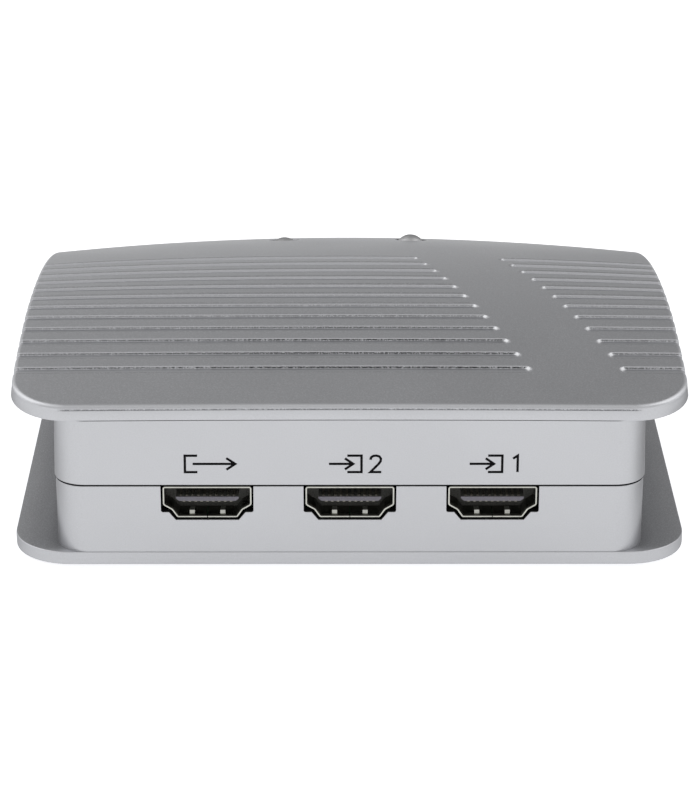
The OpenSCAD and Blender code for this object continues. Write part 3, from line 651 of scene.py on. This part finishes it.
# lower walls, whose upper edge drops at each socket to the cut-out's outline
def buildLowerWall():
    seam = case["seamZ"]
    half = case["halfW"] - case["sideRecess"] - case["bodyR"]
    nearX, nearZ = [-half], [seam]
    for name in socketNames:
        cx, _, topZ, width, height, _ = socketBox(name)
        lowZ = topZ - height
        wide = width / 2 + cutout["gap"]
        shoulderZ = lowZ + cutout["shoulder"]
        r = cutout["cornerR"]
        turn = np.radians([0, 30, 60, 90])
        arc = np.stack([wide - r + r * np.cos(turn), shoulderZ + r - r * np.sin(turn)], 1)
        side = np.concatenate([[[wide + cutout["lap"], seam]], arc,
                               [[cutout["kneeX"], shoulderZ], [cutout["footX"], lowZ - cutout["lowGap"]]]])
        nearX += list(cx - side[:, 0]) + list(cx + side[::-1, 0])
        nearZ += list(side[:, 1]) + list(side[::-1, 1])
    nearX, nearZ = np.array(nearX + [half]), np.array(nearZ + [seam])
    loop, normals = bodyLoop(nearX)
    zTop = np.full(len(loop), seam)
    zTop[:len(nearZ)] = nearZ
    zLow = np.full(len(loop), body["baseTop"] - body["sink"])
    zSkin = np.minimum(zTop, seam - body["seamHalf"] - body["seamOpen"] * np.abs(normals[:, 0]))
    addSkin("lower_wall", loop, normals, zLow, zSkin, body["edge"], "bottom_cover")
    addLining("lower_lining", loop, normals, zLow, zTop, "bottom_cover")


# the ledge carries painted shade, most at the body's foot, and paint grain in specks
# ledge counts its rows from the body's foot, at 0, to the plate's edge, at 1
base = dict(fillet=0.14, lowFillet=0.35, ledge=(-0.3, 0, 0.12, 0.3, 0.6), shadeAt=(0, 0.3, 1),
            painted_shade=(0.37, 0.19, 0.12), grain=0.27, faceFade=0.3)


# base plate: a ledge from the body's foot outwards, an edge profile carried round, closed by a face above and below
def buildBasePlate():
    f, g = base["fillet"], base["lowFillet"]
    loop, normals = outlineLoop(f, case["halfW"], 0, 0, case["baseR"])
    foot, _ = bodyLoop()
    zTop, zLow = body["baseTop"], case["floorZ"]
    share = np.array(base["ledge"])
    plan = foot[None] + (loop - foot)[None] * share[:, None, None]
    ledge = np.concatenate([plan, np.full((*plan.shape[:2], 1), zTop)], 2)
    a = np.radians([0, 15, 30, 45, 60, 75, 90])
    upper = [(f * math.sin(t), zTop - f * (1 - math.cos(t))) for t in a]
    lower = [(f * math.cos(t), zLow + g * (1 - math.sin(t))) for t in a]
    section = np.concatenate([ledge, sweepPairs(loop, normals, upper + lower)])
    piece = addPiece("base_plate", section, tubeFaces(len(section), len(loop)), "case", silverPaint,
                     replaced=["bottom_cover"])
    # painted shade lies on the ledge, most at the body's foot, and hardly any along the socket edge
    painted_shade = np.zeros(len(section))
    painted_shade[:len(share)] = np.interp(share, base["shadeAt"], base["painted_shade"])
    painted_shade[len(share)] = base["painted_shade"][-1]
    away = smoothStep((normals[:, 1] + 1) / base["faceFade"])
    setValues(piece, "painted_shade", painted_shade[:, None] * away)
    setValues(piece, "grain_and_shade", base["grain"] * (painted_shade > 0)[:, None] * away)


buildUpperWall()
buildLowerWall()
buildBasePlate()
print("body and base plate built")


# outline of a shell seen from the socket face, from one side of its slit below round to the other, with normals
def shellLoop(cx, topZ, width, height, shrink=0.0, steps=8):
    w, low = width / 2 - shrink, topZ - height + shrink
    f = shell["footW"] / 2 - shell["footPull"] * shrink
    k, knee = shell["kneeX"] - shell["kneePull"] * shrink, topZ - shell["kneeH"] + shell["kneePull"] * shrink
    mid = topZ - shell["sideH"] + shell["sidePull"] * shrink
    corner = np.array([[-f, low], [-k, knee], [-w, mid], [-w, topZ - shrink],
                       [w, topZ - shrink], [w, mid], [k, knee], [f, low]])
    radius = np.array([shell[n] for n in ("footR", "kneeR", "sideR", "topR", "topR", "sideR", "kneeR", "footR")])
    before, after = np.roll(corner, 1, 0), np.roll(corner, -1, 0)
    dirIn = (corner - before) / np.linalg.norm(corner - before, axis=1)[:, None]
    dirOut = (after - corner) / np.linalg.norm(after - corner, axis=1)[:, None]
    turn = np.arctan2(dirIn[:, 1] * dirOut[:, 0] - dirIn[:, 0] * dirOut[:, 1], (dirIn * dirOut).sum(1))
    outIn = np.stack([-dirIn[:, 1], dirIn[:, 0]], 1)
    signed = radius * np.sign(turn)           # the knee turns the other way
    centre = corner - dirIn * (radius * np.tan(np.abs(turn) / 2))[:, None] - outIn * signed[:, None]
    angle = np.arctan2(outIn[:, 1], outIn[:, 0])[:, None] - turn[:, None] * np.linspace(0, 1, steps)[None]
    normals = np.stack([np.cos(angle), np.sin(angle)], 2)
    points = (centre[:, None] + signed[:, None, None] * normals).reshape(-1, 2)
    normals = normals.reshape(-1, 2)
    half = shell["slit"] / 2
    points = np.concatenate([[[-half, low]], points, [[half, low]]]) + [cx, 0]
    normals = np.concatenate([[[0, -1]], normals, [[0, -1]]])
    return points, normals


# a section in the other two axes carried along x, which is axis 0, or along y, which is 1, with closed ends
def barAlong(axis, section, start, end):
    ends = [np.insert(section, axis, place, axis=1) for place in (start, end)]
    return np.concatenate(ends), tubeFaces(2, len(section))


def joinParts(parts):
    points, faces, start = [], [], 0
    for p, f in parts:
        points.append(p)
        faces += [[i + start for i in face] for face in f]
        start += len(p)
    return np.concatenate(points), faces


# socket shell: a sheet section with an eased rim carried round the outline
def buildShell(name):
    cx, mouthY, topZ, width, height, length = socketBox(name)
    loop, normals = shellLoop(cx, topZ, width, height)
    t, r = shell["sheet"], shell["rimR"]
    e = shell["rimEase"] * r
    rear = mouthY + length
    profile = np.array([(0, rear), (0, mouthY + r), (-e, mouthY + e), (-r, mouthY), (-t + r, mouthY),
                        (-t + e, mouthY + e), (-t, mouthY + r), (-t, rear)])
    xz = loop[:, None] + normals[:, None] * profile[None, :, :1]
    ys = np.broadcast_to(profile[None, :, 1], xz.shape[:2])
    sheet = np.stack([xz[..., 0], ys, xz[..., 1]], 2).reshape(-1, 3)
    addPiece("shell_" + name, sheet, tubeFaces(len(loop), len(profile)), "case", platedSteel,
             replaced=["socket_%s_shell" % name])


spring = dict(x=2.6, width=0.85, thick=0.2, front=0.95, rear=5.4, rise=0.74, dip=0.48, lip=0.20, root=0.6,
              lipRows=4, runRows=14)


# leaf springs in a shell's floor: a strip that rises along half a cosine from its root and turns down at its lip
def buildLeaves(name):
    cx, mouthY, topZ, _, height, _ = socketBox(name)
    run, lip = spring["rear"] - spring["front"], spring["lip"]
    y = np.concatenate([np.linspace(0, lip, spring["lipRows"]), np.linspace(lip, run, spring["runRows"])[1:]])
    rise = spring["rise"] * (0.5 + 0.5 * np.cos(math.pi * y / run))
    z = topZ - height + shell["sheet"] * spring["root"] + rise - spring["dip"] * np.clip(1 - y / lip, 0, 1)
    y = y + mouthY + spring["front"]
    strip = np.concatenate([np.column_stack([y, z]), np.column_stack([y, z - spring["thick"]])[::-1]])
    middles = [cx + side * spring["x"] for side in (-1, 1)]
    half = spring["width"] / 2
    points, faces = joinParts([barAlong(0, strip, mid - half, mid + half) for mid in middles])
    addPiece("leaves_" + name, points, faces, "case", leafSteel, replaced=["socket_%s_shell" % name])


tongue = dict(width=10.7, thick=0.74, mid=12.65, front=0.8, tip=0.25, chamfer=0.55, shoulder=0.1,
              rootScale=(0.995, 0.97), rootLap=0.05, rootGap=0.5, blockFront=4.4, blockGap=0.05)


# socket insulator: a tongue whose lower corners are cut off, and the block that fills the back of the shell
def buildInsulator(name):
    cx, mouthY, topZ, width, height, length = socketBox(name)
    w, h, c = tongue["width"] / 2, tongue["thick"] / 2, tongue["chamfer"]
    mid = tongue["mid"]
    shoulder = mid + tongue["shoulder"]
    section = np.array([[-w, mid + h], [w, mid + h], [w, shoulder],
                        [w - c, mid - h], [c - w, mid - h], [-w, shoulder]])
    front, rear = mouthY + tongue["front"], mouthY + length
    # the front tip is the lighter copy of the tongue's plastic, painted light; the root behind it is dark
    points, faces = barAlong(1, section + [cx, 0], front, front + tongue["tip"])
    addPiece("tongue_tip_" + name, points, faces, "case", tongueTipHighlight,
             replaced=["socket_%s_insulator" % name])
    root = (section - [0, mid]) * tongue["rootScale"] + [cx, mid]
    block, _ = shellLoop(cx, topZ, width, height, shrink=shell["sheet"] - shell["lap"])
    points, faces = joinParts([
        barAlong(1, root, front + tongue["tip"] - tongue["rootLap"], rear - tongue["rootGap"]),
        barAlong(1, block, mouthY + tongue["blockFront"], rear - tongue["blockGap"])])
    addPiece("insulator_" + name, points, faces, "case", socketPlastic,
             replaced=["socket_%s_insulator" % name])


for name in socketNames:
    buildShell(name)
    buildLeaves(name)
    buildInsulator(name)
print("sockets built")

# painted shade lies on the rings below the dome, where the hole shades them
cap = dict(steps=64, rows=18, domeR=2.98, sink=0.10, pole=0.02, collar=0.2, grain_and_shade=(1.5, 1.5, 0.7))


# button cap: a turned profile with a domed end, closed at its pole and below
def buildCap(node, bodyName):
    low, high = boxMm(node)
    cx, cy = (low[0] + high[0]) / 2, (low[1] + high[1]) / 2 - faceY
    r, topZ, lowZ = (high[0] - low[0]) / 2, high[2] - cap["sink"], low[2]
    lean = np.linspace(math.asin(r / cap["domeR"]), cap["pole"], cap["rows"])
    dome = np.stack([cap["domeR"] * np.sin(lean), topZ - cap["domeR"] * (1 - np.cos(lean))], 1)
    profile = np.concatenate([[[r, lowZ], [r, dome[0, 1] - cap["collar"]]], dome])
    m, n = len(profile), cap["steps"]
    turn = np.linspace(0, 2 * math.pi, n, endpoint=False)
    rings = np.stack([cx + profile[:, :1] * np.cos(turn), cy + profile[:, :1] * np.sin(turn),
                      np.broadcast_to(profile[:, 1:], (m, n))], 2)
    piece = addPiece(node.replace("_cap", "") + "_dome", rings, tubeFaces(m, n), bodyName, capSilver,
                     replaced=[node])
    grain_and_shade = np.zeros(m)
    grain_and_shade[:len(cap["grain_and_shade"])] = cap["grain_and_shade"]
    setValues(piece, "grain_and_shade", np.repeat(grain_and_shade, n))


buildCap("button_a_cap", "button_a")
buildCap("button_b_cap", "button_b")
print("button caps built")

# printed marks above the sockets: an arrow out of a bracket, and arrows into one with a plain number
mark = dict(width=0.42, proud=0.02, sunk=0.05, low=18.05)
bracketOut = [(2.3, 3.0), (0.2, 3.0), (0.2, 0.0), (2.3, 0.0)]
arrowOut = [[(1.5, 1.5), (8.6, 1.5)], [(7.2, 2.55), (8.7, 1.5), (7.2, 0.45)]]
bracketIn = [(3.1, 3.0), (5.5, 3.0), (5.5, 0.0), (3.1, 0.0)]
arrowIn = [[(0.0, 1.5), (4.0, 1.5)], [(2.7, 2.5), (4.1, 1.5), (2.7, 0.5)]]
digitTwo = [(7.0, 2.25), (7.12, 2.68), (7.5, 2.96), (8.0, 3.0), (8.5, 2.85), (8.76, 2.45), (8.72, 1.98),
            (8.4, 1.5), (7.0, 0.0), (8.85, 0.0)]
digitOne = [(7.3, 2.45), (8.1, 3.0), (8.1, 0.0)]
markSets = dict(
    mark_out=(-28.05, [bracketOut] + arrowOut),
    mark_in_2=(-3.55, [bracketIn] + arrowIn + [digitTwo]),
    mark_in_1=(20.2, [bracketIn] + arrowIn + [digitOne]),
)


# a stroke: a flat section carried along a line of points, mitred at its bends and closed at both ends
def strokeBar(line, x0, z0):
    path = np.array(line, float) + [x0, z0]
    step = np.diff(path, axis=0)
    step /= np.linalg.norm(step, axis=1)[:, None]
    sideway = np.stack([-step[:, 1], step[:, 0]], 1)
    inward = np.concatenate([sideway[:1], sideway])
    outward = np.concatenate([sideway, sideway[-1:]])
    mitre = (inward + outward) / (1 + (inward * outward).sum(1))[:, None]
    left, right = path + mitre * mark["width"] / 2, path - mitre * mark["width"] / 2
    corners = np.stack([left, right, right, left], 1)
    depth = np.array([-mark["proud"], -mark["proud"], mark["sunk"], mark["sunk"]])
    front = np.tile([0.0, -1.0], (corners.shape[0] * 4, 1))
    face = case["faceStep"] - wallOut(corners[..., 1].ravel(), front)
    y = face.reshape(corners.shape[:2]) + depth[None]
    points = np.stack([corners[..., 0], y, corners[..., 1]], 2).reshape(-1, 3)
    return points, tubeFaces(len(path), 4)


for name, (x0, lines) in markSets.items():
    points, faces = joinParts([strokeBar(line, x0, mark["low"]) for line in lines])
    addPiece(name, points, faces, "case", markInk)
print("marks printed")

# finishes of the solids that stay as they are
dressed = (
    (boardMask, ["main_board"]),
    (ivoryPlastic, ["cam_slide", "button_a_plunger", "button_b_plunger"]),
    (contactGold, ["wiper_springs", "contact_pads"]),
    (contactTinShaded, ["socket_%s_contacts" % name for name in socketNames]),
    (blackPlastic, ["switch_frame"]),
    (zincSteel, ["switch_lid", "detent_spring", "frame_screws", "board_screws", "case_screws", "button_a_pin",
                 "button_b_pin"]),
    (footRubber, ["foot_near_left", "foot_near_right", "foot_front_left", "foot_front_right"]),
)
for finish, nodes in dressed:
    for node in nodes:
        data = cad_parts[node].data
        data.materials.clear()
        data.materials.append(finish)
print("solids dressed")

# floor, light and camera; the floor's values are for gloss, apart from seen, which is for the camera
floor = dict(size=6.0, color=(0.80, 0.80, 0.80), glowTint=(0.98, 0.985, 1.0), seen=0.75,
             glow=0.61, farGlow=1.12, farAt=(0.10, 0.30),
             frontGain=1.07, footGain=0.93, frontAt=(-0.14, -0.07))
# painted shadow in the floor's glow beside the part, seen only in gloss
floorShadow = dict(besideAt=(0.062, 0.082), fade=0.025, pastAt=(-0.075, -0.045),
             sides=((-1, 0.40, 0.10), (1, 0.0, 0.115)))    # side, gain and reach
floorMesh = bpy.data.meshes.new("floor")
halfFloor = floor["size"] / 2
floorMesh.from_pydata([(x * halfFloor, y * halfFloor, 0) for x, y in ((-1, -1), (1, -1), (1, 1), (-1, 1))],
                      [], [(0, 1, 2, 3)])
floorObject = bpy.data.objects.new("floor", floorMesh)
bpy.context.scene.collection.objects.link(floorObject)


# 1 for rays from the camera, from gloss and through glass, which all show the background; 0 for other light
def shownRay(tree):
    ray = tree.nodes.new("ShaderNodeLightPath")
    first = tree.nodes.new("ShaderNodeMath")
    second = tree.nodes.new("ShaderNodeMath")
    first.operation = second.operation = "MAXIMUM"
    tree.links.new(ray.outputs["Is Camera Ray"], first.inputs[0])
    tree.links.new(ray.outputs["Is Glossy Ray"], first.inputs[1])
    tree.links.new(first.outputs["Value"], second.inputs[0])
    tree.links.new(ray.outputs["Is Transmission Ray"], second.inputs[1])
    return second.outputs["Value"], ray.outputs["Is Camera Ray"]


floorMat = bpy.data.materials.new("floor_white")
floorMat.use_nodes = True
tree = floorMat.node_tree
tree.nodes.clear()
floorOut = tree.nodes.new("ShaderNodeOutputMaterial")
matte = tree.nodes.new("ShaderNodeBsdfDiffuse")
matte.inputs["Color"].default_value = (*floor["color"], 1)
glow = tree.nodes.new("ShaderNodeEmission")
glow.inputs["Color"].default_value = (*floor["glowTint"], 1)
both = tree.nodes.new("ShaderNodeAddShader")
shown, fromCamera = shownRay(tree)
# gloss sees a painted pool of light on the floor behind the part, a little less light at its foot, and a painted
# shadow on the floor beside it
acrossX, alongY, _ = axesOf(tree, tree.nodes.new("ShaderNodeTexCoord").outputs["Object"])
glossGlow = timesOf(tree, addRange(tree, alongY, floor["glow"], floor["farGlow"], *floor["farAt"]),
                    addRange(tree, alongY, floor["frontGain"], floor["footGain"], *floor["frontAt"]))
past = addRange(tree, alongY, 0.0, 1.0, *floorShadow["pastAt"])
for side, gain, reach in floorShadow["sides"]:
    beside = addRange(tree, acrossX, 0.0, 1.0, *(side * x for x in floorShadow["besideAt"]))
    within = addRange(tree, acrossX, 1.0, 0.0, side * reach, side * (reach + floorShadow["fade"]))
    inShadow = timesOf(tree, timesOf(tree, beside, within), past)
    glossGlow = timesOf(tree, glossGlow, addRange(tree, inShadow, 1.0, gain, 0.0, 1.0))
pick = tree.nodes.new("ShaderNodeMix")
tree.links.new(fromCamera, pick.inputs["Factor"])
tree.links.new(glossGlow, pick.inputs["A"])
pick.inputs["B"].default_value = floor["seen"]
tree.links.new(timesOf(tree, shown, pick.outputs["Result"]), glow.inputs["Strength"])
tree.links.new(matte.outputs["BSDF"], both.inputs[0])
tree.links.new(glow.outputs["Emission"], both.inputs[1])
tree.links.new(both.outputs["Shader"], floorOut.inputs["Surface"])
floorMesh.materials.append(floorMat)

# the world is white to the camera and lights softly; gloss sees its far side fall off towards the top and to the
# right, and its near side even
sky = dict(soft=0.36, low=1.34, high=0.495, topSine=0.55, near=0.78, leftGain=1.10, rightGain=0.78,
           blend=(-0.15, 0.15))
world = bpy.data.worlds.new("studio")
bpy.context.scene.world = world
world.use_nodes = True
tree = world.node_tree
tree.nodes.clear()
worldOut = tree.nodes.new("ShaderNodeOutputWorld")
soft, white, shade = (tree.nodes.new("ShaderNodeBackground") for _ in range(3))
soft.inputs["Strength"].default_value = sky["soft"]
white.inputs["Strength"].default_value = 1.0
for back in (soft, white, shade):
    back.inputs["Color"].default_value = (1, 1, 1, 1)
acrossX, alongY, upZ = axesOf(tree, tree.nodes.new("ShaderNodeTexCoord").outputs["Generated"])
farSky = timesOf(tree, addRange(tree, upZ, sky["low"], sky["high"], 0.0, sky["topSine"]),
                 addRange(tree, acrossX, sky["leftGain"], sky["rightGain"], *sky["blend"]))
farShare = addRange(tree, alongY, 0.0, 1.0, *sky["blend"])
sides = tree.nodes.new("ShaderNodeMix")
sides.inputs["A"].default_value = sky["near"]
tree.links.new(farShare, sides.inputs["Factor"])
tree.links.new(farSky, sides.inputs["B"])
tree.links.new(sides.outputs["Result"], shade.inputs["Strength"])
shown, fromCamera = shownRay(tree)
inner, outer = tree.nodes.new("ShaderNodeMixShader"), tree.nodes.new("ShaderNodeMixShader")
tree.links.new(shown, inner.inputs["Fac"])
tree.links.new(soft.outputs["Background"], inner.inputs[1])
tree.links.new(shade.outputs["Background"], inner.inputs[2])
tree.links.new(fromCamera, outer.inputs["Fac"])
tree.links.new(inner.outputs["Shader"], outer.inputs[1])
tree.links.new(white.outputs["Background"], outer.inputs[2])
tree.links.new(outer.outputs["Shader"], worldOut.inputs["Surface"])

lamps = dict(
    left=dict(place=(-0.80, 0.05, 0.75), size=(1.1, 1.1), watts=4.2),
    right=dict(place=(0.80, 0.05, 0.75), size=(1.1, 1.1), watts=4.0),
    front=dict(place=(-0.1, -1.0, 1.1), size=(1.4, 0.8), watts=0.6),
)
lampAim = Vector((0, 0, 0.02))
for name, lamp in lamps.items():
    light = bpy.data.lights.new("lamp_" + name, "AREA")
    light.shape = "RECTANGLE"
    light.size, light.size_y = lamp["size"]
    light.energy = lamp["watts"]
    lampObject = bpy.data.objects.new("lamp_" + name, light)
    bpy.context.scene.collection.objects.link(lampObject)
    lampObject.location = lamp["place"]
    toPart = lampAim - Vector(lamp["place"])
    lampObject.rotation_euler = toPart.to_track_quat("-Z", "Y").to_euler()

# the camera's place in mm from the socket face's middle, its angles in degrees
view = dict(place=(-2.907, -497.453, 229.047), pitch=21.688, yaw=0.333, roll=0.106,
            focalPx=3200.0, longSidePx=800.0, sensor=36.0)
pitch, yaw, roll = (math.radians(view[k]) for k in ("pitch", "yaw", "roll"))
ahead = Vector((math.sin(yaw) * math.cos(pitch), math.cos(yaw) * math.cos(pitch), -math.sin(pitch)))
sideways = Vector((math.cos(yaw), -math.sin(yaw), 0))
upward = sideways.cross(ahead)
camX = sideways * math.cos(roll) + upward * math.sin(roll)
camY = upward * math.cos(roll) - sideways * math.sin(roll)
cameraData = bpy.data.cameras.new("photo_camera")
cameraData.sensor_width = view["sensor"]
cameraData.lens = view["focalPx"] * cameraData.sensor_width / view["longSidePx"]
camera = bpy.data.objects.new("photo_camera", cameraData)
bpy.context.scene.collection.objects.link(camera)
turned = Matrix((camX, camY, -ahead)).transposed().to_4x4()
spot = Vector(view["place"]) + Vector((0, faceY, 0))
camera.matrix_world = Matrix.Translation(spot * mm) @ turned
bpy.context.scene.camera = camera

bpy.context.scene.view_settings.view_transform = "Standard"
print("stage set")
